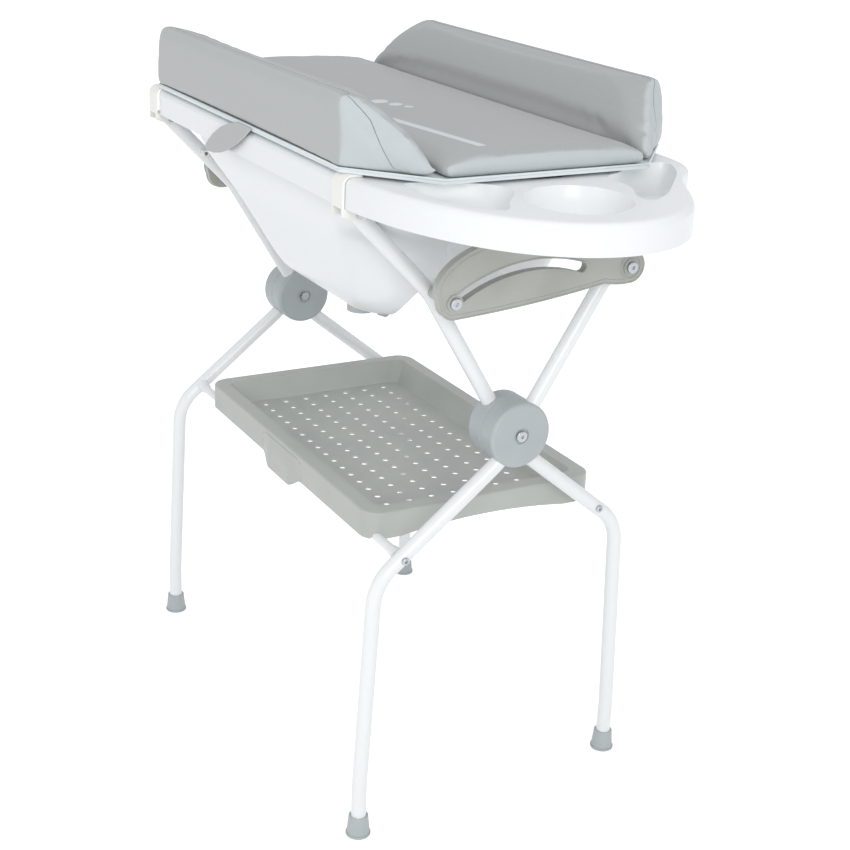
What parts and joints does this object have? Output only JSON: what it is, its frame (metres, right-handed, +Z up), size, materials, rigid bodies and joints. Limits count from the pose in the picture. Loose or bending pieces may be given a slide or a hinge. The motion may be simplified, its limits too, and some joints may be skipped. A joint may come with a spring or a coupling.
{
  "type": "changing_table",
  "caption": "Folding changing table with bathtub: two crossed tube frames, white moulded tub, padded grey mat as lid, slotted stays and a perforated tray",
  "frame": {"origin": "On the floor under the middle of the length and the width of the whole part.", "axes": "+X along the length, towards the end with the soap compartments. +Y across, towards the side where the mat is hinged. +Z up."},
  "size_m": [0.9802, 0.4715, 0.9656],
  "materials": {
    "white_steel": "smooth white powder coat",
    "zinc": "zinc plated",
    "grey_plastic": "moulded grey polypropylene",
    "light_plastic": "moulded light grey nylon",
    "cream_plastic": "moulded cream plastic",
    "white_plastic": "smooth white polypropylene",
    "grey_cover": "wipe-clean coated fabric over foam"
  },
  "bodies": {
    "outer_frame": {"outer_tube_near": "white_steel", "outer_tube_far": "white_steel", "outer_crossbar": "white_steel", "outer_crossbar_bushes": "cream_plastic", "outer_crossbar_screws": "zinc", "foot_outer_near": "grey_plastic", "foot_outer_far": "grey_plastic", "hub_outer_cup_near": "grey_plastic", "hub_outer_cup_far": "grey_plastic", "hub_bolts": "zinc", "hub_nuts": "zinc", "stay_pivot_bolts": "zinc", "stay_pivot_washers": "light_plastic", "stay_pivot_nuts": "zinc", "stay_pivot_spacers": "light_plastic", "tub_support_near": "cream_plastic", "tub_support_far": "cream_plastic"},
    "inner_frame": {"inner_tube_near": "white_steel", "inner_tube_far": "white_steel", "inner_crossbar": "white_steel", "inner_crossbar_bushes": "cream_plastic", "inner_crossbar_screws": "zinc", "foot_inner_near": "grey_plastic", "foot_inner_far": "grey_plastic", "hub_inner_cup_near": "grey_plastic", "hub_inner_cup_far": "grey_plastic", "stay_stud_bolts": "zinc", "stay_stud_washers": "light_plastic", "stay_stud_nuts": "zinc", "stay_stud_sleeves": "light_plastic", "stay_slot_bushes": "light_plastic", "clip_pins": "cream_plastic", "locating_pegs": "cream_plastic"},
    "near_stay": {"stay_near": "light_plastic"},
    "far_stay": {"stay_far": "light_plastic"},
    "tub": {"tub_shell": "white_plastic", "rim_clip_near": "cream_plastic", "rim_clip_far": "cream_plastic", "drain_body": "grey_plastic", "drain_strainer": "zinc", "mat_hinge_brackets": "cream_plastic", "mat_hinge_pins": "zinc"},
    "plug": {"drain_plug": "grey_plastic"},
    "cap": {"drain_cap": "grey_plastic"},
    "mat": {"mat_board": "white_plastic", "mat_pad": "grey_cover", "mat_bolster_left": "grey_cover", "mat_bolster_right": "grey_cover", "mat_strap": "grey_cover", "mat_hinge_leaves": "cream_plastic"},
    "tray": {"storage_tray": "grey_plastic"}
  },
  "joints": [
    {"name": "frame_fold", "type": "hinge", "parent": "outer_frame", "child": "inner_frame", "pos_m": [-0.1156, 0.014, 0.536], "axis": [1, 0, 0], "range_deg": [-45, 0]},
    {"name": "near_stay_turn", "type": "hinge", "parent": "outer_frame", "child": "near_stay", "pos_m": [0.2464, 0.14925, 0.74507], "axis": [1, 0, 0], "range_deg": [0, 2.7]},
    {"name": "far_stay_turn", "type": "hinge", "parent": "outer_frame", "child": "far_stay", "pos_m": [-0.4776, 0.14925, 0.74507], "axis": [1, 0, 0], "range_deg": [0, 2.7]},
    {"name": "tub_swing", "type": "hinge", "parent": "inner_frame", "child": "tub", "pos_m": [-0.1156, -0.202, 0.827], "axis": [1, 0, 0], "range_deg": [0, 117]},
    {"name": "mat_flip", "type": "hinge", "parent": "tub", "child": "mat", "pos_m": [-0.0885, 0.23, 0.868], "axis": [1, 0, 0], "range_deg": [-95, 0]},
    {"name": "storage_tray_tilt", "type": "hinge", "parent": "outer_frame", "child": "tray", "pos_m": [-0.1086, -0.143, 0.39304], "axis": [1, 0, 0], "range_deg": [0, 35]},
    {"name": "drain_plug_lift", "type": "slide", "parent": "tub", "child": "plug", "axis": [0, 0, 1], "range_m": [0, 0.03]},
    {"name": "drain_cap_pull", "type": "slide", "parent": "tub", "child": "cap", "axis": [0.9361, 0.3518, 0], "range_m": [0, 0.012]}
  ],
  "couplings": [
    {"joint": "near_stay_turn", "follows": "frame_fold", "ratio": -0.06},
    {"joint": "far_stay_turn", "follows": "frame_fold", "ratio": -0.06},
    {"joint": "tub_swing", "follows": "frame_fold", "ratio": -2.6}
  ]
}
